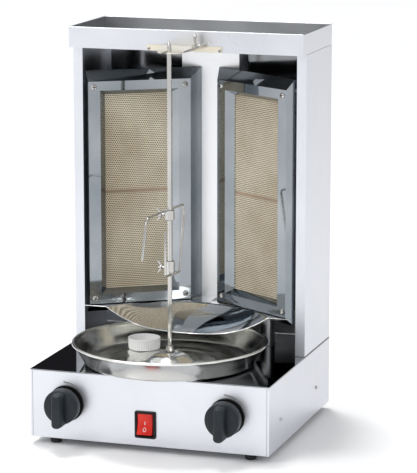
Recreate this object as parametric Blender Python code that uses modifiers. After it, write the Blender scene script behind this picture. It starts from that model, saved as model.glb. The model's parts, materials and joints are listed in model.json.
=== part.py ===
"""Two-burner countertop gas rotisserie with an upright skewer, modelled as its separate pieces.

Metres, +Z up, the machine faces -Y. The origin is on the table, under the middle of the bounding box.
Every y below is measured from the middle of the base, whose empty sits BASE_Y behind the origin.
"""

import math

import bmesh
import bpy
from mathutils import Matrix, Vector

# Casing
BASE_W = 0.3200
BASE_D = 0.2875
BASE_H = 0.0895
FOOT_H = 0.0095
FOOT_R = 0.0080
SHEET = 0.0010
GAP = 0.0004
HOUSING_W = 0.3188
HOUSING_FRONT = 0.0212
FLANGE_W = 0.0128
FLANGE_RETURN = 0.0080
REFLECTOR_Y = 0.1160
CHUTE_FLAT_Z = 0.1510
CHUTE_FLAT_R = 0.1300
CHUTE_FRONT = 0.0100
CHUTE_HALF = 0.1300
TRAY_FRONT = 0.0054
TRAY_H = 0.0273
TRAY_BOTTOM = 0.4963

# Skewer, drive and pan
SPIT_Y = -0.0560
SPIT_R = 0.0030
SPIT_TOP = 0.5177
SOCKET_TOP = 0.1209
PAN_RIM_R = 0.1275
PAN_FLOOR_R = 0.1065
PAN_FLOOR_Z = 0.0993
PAN_RIM_Z = 0.1281
DOME_R = 0.0355
DOME_H = 0.0125
UPPER_HUB_Z = 0.2930
LOWER_HUB_Z = 0.2240
COLLAR_R = 0.0064
COLLAR_BORE = 0.0034
WIRE_R = 0.0014
CAP_R = 0.0214
CAP_H = 0.0150
CAP_XY = (-0.0550, 0.0000)

# Burners: each face is 139 x 299 mm and turned towards the skewer
BURNER_TURN = math.radians(32.9)
BURNER_X = 0.0769
BURNER_Y = 0.0491
BURNER_Z = 0.3015
FACE_W = 0.1390
FACE_H = 0.2988
TILE_W = 0.0920
TILE_H = 0.1320
TILE_T = 0.0130
RETURN_DEPTH = 0.0100
SIDE_DEPTH = 0.0150
FLANGE_DEPTH = 0.0200
FLANGE_SPREAD = 0.0200
FLANGE_RISE = 0.0130
VENTURI_BACK = 0.0300
VENTURI_R = 0.0100

# Controls
KNOB_MID = -0.0030
KNOB_X = 0.1077
KNOB_Z = 0.0568
KNOB_R = 0.0226
BEZEL_R = 0.0237
SWITCH_X = -0.0035
SWITCH_Z = 0.0373
SWITCH_W = 0.0284
SWITCH_H = 0.0355
ROCKER_REST = math.radians(-9.0)

# Gas train
MANIFOLD_Y = -0.1150
MANIFOLD_Z = 0.0405
SUPPLY_X = 0.1320
INLET_LENGTH = 0.0220

BASE_TOP = FOOT_H + BASE_H
FRONT = -BASE_D / 2
BACK = BASE_D / 2
KNOB_FRONT = FRONT - 0.0400
BASE_Y = -(KNOB_FRONT + BACK + INLET_LENGTH) / 2

for leftover in list(bpy.data.objects):
    bpy.data.objects.remove(leftover)

parts = bpy.data.collections.new("gas_rotisserie")
cutters = bpy.data.collections.new("cutters")
for collection in (parts, cutters):
    bpy.context.scene.collection.children.link(collection)
cutters.hide_render = True


def material(name, colour, roughness, metallic):
    """A Principled material of one colour."""
    made = bpy.data.materials.new(name)
    made.use_nodes = True
    shader = made.node_tree.nodes["Principled BSDF"]
    shader.inputs["Base Color"].default_value = (*colour, 1.0)
    shader.inputs["Roughness"].default_value = roughness
    shader.inputs["Metallic"].default_value = metallic
    made.diffuse_color = (*colour, 1.0)
    return made


STEEL = material("brushed_casing_steel", (0.80, 0.81, 0.84), 0.28, 1.0)
MIRROR = material("mirror_steel", (0.86, 0.86, 0.87), 0.06, 1.0)
CERAMIC = material("burner_ceramic", (0.62, 0.54, 0.40), 0.85, 0.0)
DARK_STEEL = material("heat_dark_steel", (0.16, 0.16, 0.17), 0.45, 1.0)
KNOB_PLASTIC = material("charcoal_plastic", (0.05, 0.06, 0.07), 0.42, 0.0)
BLACK_PLASTIC = material("black_plastic", (0.02, 0.02, 0.02), 0.45, 0.0)
RED_PLASTIC = material("red_rocker_plastic", (0.80, 0.05, 0.03), 0.25, 0.0)
WHITE_PLASTIC = material("white_plastic", (0.90, 0.90, 0.89), 0.45, 0.0)
RUBBER = material("foot_rubber", (0.03, 0.03, 0.03), 0.80, 0.0)
BRASS = material("brass", (0.78, 0.60, 0.30), 0.35, 1.0)


def empty(name, location, turn=0.0, parent=None):
    """A marker that pieces are placed on."""
    marker = bpy.data.objects.new(name, None)
    marker.location = location
    marker.rotation_euler = (0.0, 0.0, turn)
    marker.parent = parent
    parts.objects.link(marker)
    return marker


machine = empty("machine", (0.0, BASE_Y, 0.0))


def add(name, mesh, look, location=(0, 0, 0), rotation=(0, 0, 0), parent=machine):
    """Puts a mesh in the machine as one named piece."""
    obj = bpy.data.objects.new(name, mesh)
    obj.location = location
    obj.rotation_euler = rotation
    obj.parent = parent
    if look is None:
        obj.hide_render = True
        obj.display_type = "WIRE"
        cutters.objects.link(obj)
    else:
        if not mesh.materials:
            mesh.materials.append(look)
        parts.objects.link(obj)
    return obj


def mesh_of(bm, name, smooth=False):
    """Turns a bmesh into a mesh with its normals outwards."""
    mesh = bpy.data.meshes.new(name)
    bm.to_mesh(mesh)
    bm.free()
    if smooth:
        mesh.shade_smooth()
        mesh.set_sharp_from_angle(angle=math.radians(35))
    return mesh


def box_mesh(name, size):
    """A box centred on its origin."""
    bm = bmesh.new()
    bmesh.ops.create_cube(bm, size=1.0, matrix=Matrix.Diagonal((*size, 1.0)))
    return mesh_of(bm, name)


def box(name, low, high, look, parent=machine):
    """A box between two corners, with its origin in its middle."""
    low, high = Vector(low), Vector(high)
    return add(name, box_mesh(name, high - low), look, (low + high) / 2, parent=parent)


def cylinder_mesh(name, radius, length, segments=32, end_radius=None):
    """A cylinder or cone along Z, centred on its origin."""
    bm = bmesh.new()
    top = radius if end_radius is None else end_radius
    bmesh.ops.create_cone(
        bm, cap_ends=True, segments=segments, radius1=radius, radius2=top, depth=length
    )
    return mesh_of(bm, name, smooth=True)


ALONG_Y = (math.radians(90), 0.0, 0.0)
ALONG_X = (0.0, math.radians(90), 0.0)


def cylinder(name, radius, length, centre, look, rotation=(0, 0, 0), segments=32, parent=machine):
    """A round bar."""
    return add(name, cylinder_mesh(name, radius, length, segments), look, centre, rotation, parent)


def boolean(obj, other, operation="DIFFERENCE"):
    """Cuts the other object out of obj, or joins it on."""
    step = obj.modifiers.new(operation.lower(), "BOOLEAN")
    step.operation = operation
    step.solver = "EXACT"
    step.object = other
    return obj


def bevel(obj, width, segments=2):
    """Rounds the sharp edges."""
    step = obj.modifiers.new("rounded_edges", "BEVEL")
    step.width = width
    step.segments = segments
    step.limit_method = "ANGLE"
    step.angle_limit = math.radians(40)
    return obj


def turned(name, profile, look, location, rotation=(0, 0, 0), steps=48, parent=machine, loop=False):
    """A turned piece: (radius, height) points down its outer side, turned about Z."""
    bm = bmesh.new()
    points = [bm.verts.new((r, 0.0, z)) for r, z in profile]
    ends = list(zip(points, points[1:]))
    if loop:
        ends.append((points[-1], points[0]))
    for pair in ends:
        bm.edges.new(pair)
    obj = add(name, mesh_of(bm, name), look, location, rotation, parent)
    screw = obj.modifiers.new("turn", "SCREW")
    screw.steps = steps
    screw.render_steps = steps
    screw.use_merge_vertices = True
    screw.merge_threshold = 0.00001
    screw.use_smooth_shade = True
    return obj


def rounded_path(corners, radii, steps=5):
    """The corner points of a path, each replaced by an arc of its radius."""
    path = [Vector(corners[0])]
    for before, corner, after, radius in zip(corners, corners[1:], corners[2:], radii):
        corner = Vector(corner)
        arm_in = (Vector(before) - corner).normalized()
        arm_out = (Vector(after) - corner).normalized()
        half = arm_in.angle(arm_out) / 2
        reach = radius / math.tan(half)
        centre = corner + (arm_in + arm_out).normalized() * (radius / math.sin(half))
        start = corner + arm_in * reach - centre
        end = corner + arm_out * reach - centre
        for k in range(steps + 1):
            path.append(centre + start.slerp(end, k / steps).normalized() * radius)
    path.append(Vector(corners[-1]))
    return path


def wire(name, path, radius, look, location=(0, 0, 0), turn=0.0, parent=machine, sides=2):
    """A round bar bent along a path, as a closed mesh."""
    curve = bpy.data.curves.new(name, "CURVE")
    curve.dimensions = "3D"
    curve.bevel_depth = radius
    curve.bevel_resolution = sides
    curve.use_fill_caps = True
    line = curve.splines.new("POLY")
    line.points.add(len(path) - 1)
    for point, place in zip(line.points, path):
        point.co = (*place, 1.0)
    guide = bpy.data.objects.new(name + "_guide", curve)
    cutters.objects.link(guide)
    graph = bpy.context.evaluated_depsgraph_get()
    mesh = bpy.data.meshes.new_from_object(guide.evaluated_get(graph))
    bpy.data.objects.remove(guide)
    mesh.name = name
    mesh.materials.clear()
    bm = bmesh.new()
    bm.from_mesh(mesh)
    bmesh.ops.remove_doubles(bm, verts=bm.verts, dist=0.00001)
    bmesh.ops.recalc_face_normals(bm, faces=bm.faces)
    bm.to_mesh(mesh)
    bm.free()
    mesh.shade_smooth()
    mesh.set_sharp_from_angle(angle=math.radians(50))
    return add(name, mesh, look, location, (0, 0, turn), parent)


def plate_mesh(name, outline, thickness):
    """A flat outline in XY, filled and thickened equally above and below."""
    curve = bpy.data.curves.new(name, "CURVE")
    curve.dimensions = "2D"
    curve.fill_mode = "BOTH"
    curve.extrude = thickness / 2
    line = curve.splines.new("POLY")
    line.points.add(len(outline) - 1)
    for point, (x, y) in zip(line.points, outline):
        point.co = (x, y, 0.0, 1.0)
    line.use_cyclic_u = True
    guide = bpy.data.objects.new(name + "_guide", curve)
    cutters.objects.link(guide)
    graph = bpy.context.evaluated_depsgraph_get()
    mesh = bpy.data.meshes.new_from_object(guide.evaluated_get(graph))
    bpy.data.objects.remove(guide)
    mesh.name = name
    mesh.materials.clear()
    bm = bmesh.new()
    bm.from_mesh(mesh)
    bmesh.ops.remove_doubles(bm, verts=bm.verts, dist=0.00001)
    bmesh.ops.recalc_face_normals(bm, faces=bm.faces)
    bm.to_mesh(mesh)
    bm.free()
    return mesh


def arc(centre, radius, start, end, steps):
    """Points on an arc, angles in degrees."""
    angles = (math.radians(start + (end - start) * k / steps) for k in range(steps + 1))
    return [(centre[0] + radius * math.cos(a), centre[1] + radius * math.sin(a)) for a in angles]


def surface(name, points, faces, look, thickness=SHEET, side=-1.0, parent=machine, location=(0, 0, 0)):
    """Sheet metal: an open surface thickened behind its normals."""
    bm = bmesh.new()
    corners = [bm.verts.new(p) for p in points]
    for face in faces:
        bm.faces.new([corners[i] for i in face])
    obj = add(name, mesh_of(bm, name), look, location, parent=parent)
    shell = obj.modifiers.new("sheet", "SOLIDIFY")
    shell.thickness = thickness
    shell.offset = side
    shell.use_even_offset = True
    return obj


def folded_sheet(name, path, low, high, look, thickness=SHEET, parent=machine):
    """A sheet folded along upright lines: an XY path from z low to z high, outer skin on its right."""
    count = len(path)
    points = [(x, y, low) for x, y in path] + [(x, y, high) for x, y in path]
    faces = [(i, i + 1, count + i + 1, count + i) for i in range(count - 1)]
    return surface(name, points, faces, look, thickness, parent=parent)


def hole(obj, radius, centre, rotation=(0, 0, 0), length=0.02, parent=machine, segments=32):
    """Drills a round hole."""
    name = f"{obj.name}_hole_{len(obj.modifiers)}"
    return boolean(obj, cylinder(name, radius, length, centre, None, rotation, segments, parent))


def slot(obj, low, high, parent=machine):
    """Cuts a square opening."""
    return boolean(obj, box(f"{obj.name}_slot_{len(obj.modifiers)}", low, high, None, parent))


def make_base():
    """The box at the bottom: wrap, top, back and bottom plates, and four feet."""
    half = BASE_W / 2
    wrap = folded_sheet(
        "base_wrap",
        [(-half, BACK - SHEET), (-half, FRONT), (half, FRONT), (half, BACK - SHEET)],
        FOOT_H,
        BASE_TOP - SHEET - GAP,
        STEEL,
    )
    for x in (KNOB_MID - KNOB_X, KNOB_MID + KNOB_X):
        hole(wrap, 0.0090, (x, FRONT, KNOB_Z), ALONG_Y)
    opening = (SWITCH_W / 2 - 0.0025, 0.01, SWITCH_H / 2 - 0.0025)
    centre = Vector((SWITCH_X, FRONT, SWITCH_Z))
    slot(wrap, centre - Vector(opening), centre + Vector(opening))
    top = box("base_top_plate", (-half, FRONT, BASE_TOP - SHEET), (half, BACK, BASE_TOP), MIRROR)
    hole(top, 0.0085, (0, SPIT_Y, BASE_TOP))
    for side in (-1, 1):
        x, y = venturi_xy(side)
        hole(top, VENTURI_R + 0.0030, (x, y, BASE_TOP))
    inner = half - SHEET - GAP
    low, high = FOOT_H + SHEET + GAP, BASE_TOP - SHEET - GAP
    back = box("base_back_panel", (-inner, BACK - SHEET, low), (inner, BACK, high), STEEL)
    hole(back, 0.0065, (SUPPLY_X, BACK, MANIFOLD_Z), ALONG_Y)
    hole(back, 0.0070, (-SUPPLY_X, BACK, MANIFOLD_Z), ALONG_Y)
    for k in range(5):
        x = (k - 2) * 0.030
        slot(back, (x - 0.010, BACK - 0.01, 0.060), (x + 0.010, BACK + 0.01, 0.064))
    bottom = box(
        "base_bottom_plate",
        (-inner, FRONT + SHEET + GAP, FOOT_H),
        (inner, BACK - SHEET - GAP, FOOT_H + SHEET),
        STEEL,
    )
    for k in range(4):
        y = (k - 1.5) * 0.030
        slot(bottom, (-0.050, y - 0.003, 0.0), (0.050, y + 0.003, 0.02))
    for front, y in (("front", FRONT + 0.0158), ("rear", BACK - 0.0158)):
        for side, x in (("left", -0.1315), ("right", 0.1315)):
            foot = turned(
                f"foot_{front}_{side}",
                [(0, FOOT_H - GAP), (FOOT_R, FOOT_H - GAP), (FOOT_R - 0.0008, 0.0008)]
                + [(FOOT_R - 0.0018, 0.0), (0, 0.0)],
                RUBBER,
                (x, y, 0),
                steps=24,
            )
            foot.data.name = "foot"


def venturi_xy(side):
    """Where a burner's mixing tube stands, with side -1 for the left one."""
    back_x = math.sin(BURNER_TURN) * VENTURI_BACK
    back_y = math.cos(BURNER_TURN) * VENTURI_BACK
    return side * (BURNER_X + back_x), BURNER_Y + back_y


def make_housing():
    """The upright cabinet: two walls with front flanges, back panel, inner reflector and top tray."""
    half = HOUSING_W / 2
    low, high = BASE_TOP + GAP, TRAY_BOTTOM - GAP
    edge = half - FLANGE_W
    right = [
        (edge, HOUSING_FRONT + FLANGE_RETURN),
        (edge, HOUSING_FRONT),
        (half, HOUSING_FRONT),
        (half, BACK - SHEET - GAP),
    ]
    folded_sheet("right_wall", right, low, high, STEEL)
    left = [(-x, y) for x, y in reversed(right)]
    folded_sheet("left_wall", left, low, high, STEEL)
    box("rear_panel", (-half, BACK - SHEET, low), (half, BACK, high), STEEL)
    wing = BACK - SHEET - 0.0016
    reflector = [(0.0400, REFLECTOR_Y), (0.0450, wing), (0.1500, wing)]
    reflector = [(-x, y) for x, y in reversed(reflector)] + reflector
    folded_sheet("rear_reflector", reflector, 0.1400, high - GAP, MIRROR)
    top = TRAY_BOTTOM + TRAY_H
    corners = [(-half, TRAY_FRONT), (half, TRAY_FRONT), (half, BACK), (-half, BACK)]
    points = [(x, y, TRAY_BOTTOM) for x, y in corners] + [(x, y, top) for x, y in corners]
    faces = [(3, 2, 1, 0), (0, 1, 5, 4), (1, 2, 6, 5), (2, 3, 7, 6), (3, 0, 4, 7)]
    tray = surface("top_tray", points, faces, STEEL, 0.0012)
    for k in range(5):
        x = (k - 2) * 0.050
        slot(tray, (x - 0.014, 0.070, 0.49), (x + 0.014, 0.078, 0.51))


def chute_height(x, y):
    """A shallow bowl round the skewer's axis, flat from CHUTE_FLAT_R outwards."""
    reach = min(math.hypot(x, y - SPIT_Y), CHUTE_FLAT_R)
    rise = max(0.0, reach - 0.0594)
    return CHUTE_FLAT_Z - 0.0281 + 5.64 * rise * rise


def chute_back(x):
    """The chute's back edge, which follows the lower edges of the two burner faces."""
    inner, outer = BURNER_X - 0.0582, BURNER_X + 0.0583
    return 0.0093 + (outer - max(abs(x), inner)) * math.tan(BURNER_TURN)


def make_chute():
    """The drip chute in front of the burners: a dished plate whose front edge hangs inside the pan."""
    half = HOUSING_W / 2 - SHEET - GAP
    marks = [0.0, 0.0110, 0.0187, 0.0300, 0.0450, 0.0600, 0.0750, 0.0900, 0.1050, 0.1180, CHUTE_HALF]
    across = [-x for x in reversed(marks[1:])] + marks
    rows = 8
    width = rows + 1
    points = []
    for x in across:
        deep = chute_back(x) - CHUTE_FRONT
        for j in range(width):
            y = CHUTE_FRONT + deep * j / rows
            points.append((x, y, chute_height(x, y)))
    faces = [
        (i * width + j, (i + 1) * width + j, (i + 1) * width + j + 1, i * width + j + 1)
        for i in range(len(across) - 1)
        for j in range(rows)
    ]
    middle = len(across) // 2
    last = len(points)
    for x in across[middle - 1 : middle + 2]:
        points.append((x, REFLECTOR_Y - GAP, CHUTE_FLAT_Z))
    for k in range(2):
        start = (middle - 1 + k) * width + rows
        faces.append((start, start + width, last + k + 1, last + k))
    for side, edge in ((-1, 0), (1, (len(across) - 1) * width)):
        tab = len(points)
        for y in (CHUTE_FRONT, chute_back(CHUTE_HALF)):
            points.append((side * half, y, CHUTE_FLAT_Z))
        face = (edge, tab, tab + 1, edge + rows) + tuple(edge + j for j in range(rows - 1, 0, -1))
        faces.append(face if side > 0 else face[::-1])
    surface("drip_chute", points, faces, MIRROR, 0.0008)


CORNER_SIGNS = ((-1, -1), (1, -1), (1, 1), (-1, 1))


def burner_frame_mesh(side):
    """The frame: face, sloped window return, and side, top and bottom flanges that lean back."""
    x, z = FACE_W / 2, FACE_H / 2
    wx, wz = 0.0535, 0.1370
    rx, rz = TILE_W / 2 - 0.0010, TILE_H - 0.0015
    rings = [(rx, rz, RETURN_DEPTH), (wx, wz, 0.0), (x, z, 0.0)]
    points = [(sx * a, y, sz * b) for a, b, y in rings for sx, sz in CORNER_SIGNS]
    tall = z + FLANGE_RISE
    inner, outer = -x - FLANGE_SPREAD, x + 0.0005
    points += [(inner, FLANGE_DEPTH, -tall), (outer, SIDE_DEPTH, -tall)]
    points += [(outer, SIDE_DEPTH, tall), (inner, FLANGE_DEPTH, tall)]
    faces = []
    for ring in (0, 4, 8):
        for k in range(4):
            n = (k + 1) % 4
            faces.append((ring + n, ring + k, ring + 4 + k, ring + 4 + n))
    if side < 0:
        points = [(-px, py, pz) for px, py, pz in points]
        faces = [face[::-1] for face in faces]
    return points, faces


def make_burner(name, side):
    """One infrared burner on its own marker, facing its local -Y."""
    place = empty(
        f"{name}_burner", (side * BURNER_X, BURNER_Y, BURNER_Z), -side * BURNER_TURN, machine
    )
    points, faces = burner_frame_mesh(side)
    surface(f"{name}_burner_frame", points, faces, MIRROR, 0.0008, parent=place)
    tile_front = RETURN_DEPTH + 0.0008 + GAP
    for level, low in (("upper", 0.0002), ("lower", -TILE_H - 0.0002)):
        box(
            f"{name}_burner_tile_{level}",
            (-TILE_W / 2, tile_front, low),
            (TILE_W / 2, tile_front + TILE_T, low + TILE_H),
            CERAMIC,
            place,
        )
    body = box(
        f"{name}_burner_box", (-0.0610, 0.0120, -0.1440), (0.0610, 0.0460, 0.1440), STEEL, place
    )
    pocket_x, pocket_z = TILE_W / 2 + GAP, TILE_H + 0.0002 + GAP
    slot(body, (-pocket_x, 0.0, -pocket_z), (pocket_x, tile_front + TILE_T + GAP, pocket_z), place)
    slot(body, (-0.0400, 0.0150, -0.1250), (0.0400, 0.0410, 0.1250), place)
    hole(body, VENTURI_R + GAP, (0, VENTURI_BACK, -0.1400), length=0.04, parent=place)
    tube_top = BURNER_Z - 0.1440 + 0.0060
    x, y = venturi_xy(side)
    bell, bore = VENTURI_R + 0.0020, VENTURI_R - 0.0012
    turned(
        f"{name}_burner_mixing_tube",
        [(VENTURI_R, tube_top), (VENTURI_R, 0.0960), (bell, 0.0900), (bell - 0.0012, 0.0900)]
        + [(bore, 0.0960), (bore, tube_top)],
        STEEL,
        (x, y, 0),
        steps=32,
        loop=True,
    )
    for level, z in (("upper", 0.0900), ("lower", -0.0900)):
        back = 0.0460 + GAP
        post = box(
            f"{name}_burner_{level}_bracket",
            (-0.0120, back, z - 0.0080),
            (0.0120, back + 0.0080, z + 0.0080),
            DARK_STEEL,
            place,
        )
        slot(post, (-0.0100, back + 0.0015, z - 0.0100), (0.0100, back + 0.0100, z + 0.0100), place)
    return place


def make_pan():
    """The round drip pan with its rolled rim and the dome over the drive."""
    t = SHEET
    floor, rim = PAN_FLOOR_Z, PAN_RIM_Z
    wall = PAN_RIM_R - 0.0035
    outer = [(PAN_RIM_R - 0.0012, rim), (PAN_RIM_R, rim - 0.0010), (PAN_RIM_R, rim - 0.0030)]
    outer += [(PAN_RIM_R - 0.0014, rim - 0.0038), (wall, rim - 0.0040)]
    outer += [(PAN_FLOOR_R + 0.0045, floor + 0.0045), (PAN_FLOOR_R + 0.0022, floor + 0.0012)]
    outer += [(PAN_FLOOR_R - 0.0015, floor), (DOME_R, floor)]
    crown = [
        (DOME_R * math.cos(math.radians(a)), DOME_H * math.sin(math.radians(a)))
        for a in (20, 40, 60, 74)
    ]
    hole_r = 0.0060
    under = [(r, floor + z) for r, z in crown] + [(hole_r, floor + DOME_H)]
    above = [(hole_r, floor + DOME_H + t)] + [(r, floor + z + t) for r, z in reversed(crown)]
    inner = [(DOME_R, floor + t), (PAN_FLOOR_R - 0.0019, floor + t)]
    inner += [(PAN_FLOOR_R + 0.0013, floor + 0.0020), (PAN_FLOOR_R + 0.0034, floor + 0.0051)]
    inner += [(wall - 0.0011, rim - 0.0036), (wall + 0.0002, rim - 0.0004)]
    turned(
        "drip_pan", outer + under + above + inner, MIRROR, (0, SPIT_Y, 0), steps=72, loop=True
    )


def make_drive():
    """The geared motor under the top plate, its shaft, and the hub with the skewer's socket."""
    cylinder("drive_motor", 0.0250, 0.0200, (0, SPIT_Y, 0.0795), STEEL)
    plate = box(
        "motor_mount",
        (-0.0340, SPIT_Y - 0.0150, 0.0899),
        (0.0340, SPIT_Y + 0.0150, 0.0976),
        DARK_STEEL,
    )
    hole(plate, 0.0085, (0, SPIT_Y, 0.0940))
    cylinder("motor_shaft", 0.0035, 0.0095, (0, SPIT_Y, 0.0947), DARK_STEEL, segments=24)
    bore = SPIT_R + 0.0003
    turned(
        "drive_hub",
        [(0, 0.1105), (bore, 0.1105), (bore, SOCKET_TOP), (0.0050, SOCKET_TOP), (0.0050, 0.1070)]
        + [(0.0180, 0.1055), (0.0180, 0.1001), (0.0065, 0.1001), (0.0065, 0.0935)]
        + [(0.0039, 0.0935), (0.0039, 0.1000), (0, 0.1000)],
        STEEL,
        (0, SPIT_Y, 0),
        steps=40,
    )


def fork(name, hub_z, half, bar, turn, back, front, radii, place):
    """A two-pronged wire fork welded to a sliding collar, with its thumb screw.

    back and front each give the arm's reach, how far its prong leans out, and the prong's end level.
    """
    side = math.copysign(0.0052, -bar)
    path = [
        (side, back[0] + back[1], back[2] - hub_z),
        (side, back[0], bar),
        (side, -front[0], bar),
        (side, -front[0] - front[1], front[2] - hub_z),
    ]
    prongs = wire(
        f"{name}_wire", rounded_path(path, radii), WIRE_R, None, (0, 0, hub_z), turn, place
    )
    collar = turned(
        name,
        [(COLLAR_R, half), (COLLAR_R, -half), (COLLAR_BORE, -half), (COLLAR_BORE, half)],
        STEEL,
        (0, 0, hub_z),
        (0, 0, turn),
        24,
        place,
        loop=True,
    )
    boolean(collar, prongs, "UNION")
    drill = cylinder(f"{name}_drill", 0.0022, 0.0080, (-0.0055, 0, 0), None, ALONG_X, 16, collar)
    boolean(collar, drill)
    turned(
        f"{name}_thumb_screw",
        [(0, 0.0054), (0.0017, 0.0054), (0.0017, -0.0012), (0.0040, -0.0016)]
        + [(0.0040, -0.0052), (0.0034, -0.0060), (0, -0.0060)],
        STEEL,
        (-0.0095, 0, 0),
        ALONG_X,
        20,
        collar,
    )


def make_skewer():
    """The upright skewer and its two forks."""
    place = empty("skewer_axis", (0, SPIT_Y, 0), 0.0, machine)
    turned(
        "skewer_rod",
        [(0, SPIT_TOP), (0.0006, SPIT_TOP - 0.0004), (SPIT_R, SPIT_TOP - 0.0120), (SPIT_R, 0.1112)]
        + [(0.0024, 0.1108), (0, 0.1108)],
        STEEL,
        (0, 0, 0),
        steps=24,
        parent=place,
    )
    fork(
        "upper_fork",
        UPPER_HUB_Z,
        0.0065,
        0.0050,
        math.radians(-6.3),
        (0.0542, -0.0087, 0.2378),
        (0.0578, 0.0141, 0.2447),
        (0.0040, 0.0120),
        place,
    )
    fork(
        "lower_fork",
        LOWER_HUB_Z,
        0.0090,
        -0.0076,
        math.radians(-9.9),
        (0.0163, 0.0140, 0.2926),
        (0.0217, -0.0010, 0.2774),
        (0.0040, 0.0040),
        place,
    )


def make_top_holder():
    """The slotted bracket that steadies the skewer's tip, with its latch wire and pivot pin."""
    thick = 0.0012
    level = 0.5038
    nose_y, nose_r = -0.0620, 0.0170
    nose = arc((0.0040, nose_y), nose_r, 195, 345, 12)
    outline = [(-0.0310, TRAY_FRONT - GAP)] + nose + [(0.0310, TRAY_FRONT - GAP)]
    bracket = add(
        "skewer_bracket", plate_mesh("skewer_bracket", outline, thick), STEEL, (0, 0, level)
    )
    flange = box(
        "bracket_flange",
        (-0.0510, TRAY_FRONT - GAP - thick, TRAY_BOTTOM + 0.0004),
        (0.0510, TRAY_FRONT - GAP, level + thick / 2),
        None,
    )
    boolean(bracket, flange, "UNION")
    hole(bracket, SPIT_R + 0.0008, (0, SPIT_Y, level), segments=24)
    slot(
        bracket,
        (-SPIT_R - 0.0008, nose_y - 0.03, level - 0.01),
        (SPIT_R + 0.0008, SPIT_Y, level + 0.01),
    )
    pivot = Vector((0.0190, -0.0080, level + thick / 2))
    turned(
        "latch_pin",
        [(0, 0.0181), (0.0006, 0.0176), (0.0028, 0.0141), (0.0028, 0.0046), (0.0019, 0.0036)]
        + [(0.0019, 0.0003), (0, 0.0003)],
        STEEL,
        pivot,
        steps=20,
    )
    axis = empty("latch_axis", pivot, 0.0, machine)
    latch = turned(
        "latch_wire",
        [(0.0046, 0.0024), (0.0046, 0.0004), (0.0023, 0.0004), (0.0023, 0.0024)],
        STEEL,
        (0, 0, 0),
        steps=24,
        parent=axis,
        loop=True,
    )
    arm = wire(
        "latch_arm",
        rounded_path(
            [(0.0153, 0.0040, 0.0064), (0.0042, 0.0005, 0.0014), (0.0070, -0.0680, 0.0014)],
            [0.0040],
        ),
        0.0010,
        None,
        parent=axis,
    )
    boolean(latch, arm, "UNION")


def make_cap():
    """The loose white cap that lies in the pan, open side up."""
    floor = PAN_FLOOR_Z + SHEET + GAP
    wall = 0.0016
    turned(
        "drive_cap",
        [(0, wall), (CAP_R - 0.0026, wall), (CAP_R - wall, CAP_H), (CAP_R, CAP_H)]
        + [(CAP_R, CAP_H - 0.0030), (CAP_R - 0.0008, 0.0010), (CAP_R - 0.0018, 0.0), (0, 0)],
        WHITE_PLASTIC,
        (*CAP_XY, floor),
        steps=40,
    )


def make_knob(name, x):
    """A control knob with its pointer fin, the stem it turns on, the black disc behind it and the valve."""
    axis = empty(f"{name}_knob_axis", (x, FRONT, KNOB_Z), 0.0, machine)
    turned(
        f"{name}_knob_disc",
        [(BEZEL_R, 0.0012), (BEZEL_R, 0.0), (0.0085, 0.0), (0.0085, 0.0016), (BEZEL_R - 0.0006, 0.0016)],
        BLACK_PLASTIC,
        (0, -GAP, 0),
        ALONG_Y,
        40,
        axis,
        loop=True,
    )
    knob = turned(
        f"{name}_knob",
        [(0, 0.0250), (KNOB_R - 0.0040, 0.0250), (KNOB_R - 0.0012, 0.0238), (KNOB_R, 0.0130)]
        + [(KNOB_R, 0.0095), (KNOB_R - 0.0020, 0.0095), (KNOB_R - 0.0025, 0.0130), (0, 0.0130)],
        KNOB_PLASTIC,
        (0, 0, 0),
        ALONG_Y,
        40,
        axis,
    )
    fin_outline = [(-0.0060, -KNOB_R - 0.0022), (0.0060, -KNOB_R - 0.0022), (0.0066, -0.0150)]
    fin_outline += [(0.0058, KNOB_R - 0.0010), (-0.0058, KNOB_R - 0.0010), (-0.0066, -0.0150)]
    depth = 0.0230
    fin = add(
        f"{name}_knob_fin",
        plate_mesh(f"{name}_knob_fin", fin_outline, depth),
        None,
        (0, -0.0400 + depth / 2, 0),
        ALONG_Y,
        axis,
    )
    boolean(knob, fin, "UNION")
    hole(knob, 0.0034, (0, -0.0150, 0), ALONG_Y, 0.0200, axis, 24)
    cylinder(f"{name}_valve_stem", 0.0030, 0.0330, (0, -0.0075, 0), BRASS, ALONG_Y, 24, axis)
    valve = cylinder(
        f"{name}_gas_valve", 0.0105, 0.0300, (0, SHEET + GAP + 0.0150, 0), BRASS, ALONG_Y, 24, axis
    )
    hole(valve, 0.0034, (0, 0.0060, 0), ALONG_Y, 0.0200, axis, 24)


def make_switch():
    """The lit rocker switch and its bezel."""
    axis = empty("rocker_axis", (SWITCH_X, FRONT + 0.0030, SWITCH_Z), 0.0, machine)
    w, h = SWITCH_W / 2, SWITCH_H / 2
    bezel = box("switch_bezel", (-w, -0.0056, -h), (w, -0.0034, h), BLACK_PLASTIC, axis)
    body = box(
        "switch_body", (-w + 0.0030, -0.0060, -h + 0.0030), (w - 0.0030, 0.0180, h - 0.0030), None, axis
    )
    boolean(bezel, body, "UNION")
    slot(bezel, (-0.0100, -0.0200, -0.0142), (0.0100, 0.0150, 0.0142), axis)
    profile = [(-0.0075, 0.0122), (-0.0052, 0.0), (-0.0075, -0.0122), (0.0030, -0.0122)]
    profile += [(0.0075, -0.0030), (0.0075, 0.0030), (0.0030, 0.0122)]
    turn = Matrix.Rotation(ROCKER_REST, 2)
    outline = [tuple(turn @ Vector(p)) for p in profile]
    mesh = plate_mesh("switch_rocker", outline, 0.0190)
    mesh.transform(Matrix(((0, 0, 1, 0), (1, 0, 0, 0), (0, 1, 0, 0), (0, 0, 0, 1))))
    add("switch_rocker", mesh, RED_PLASTIC, parent=axis)


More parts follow.
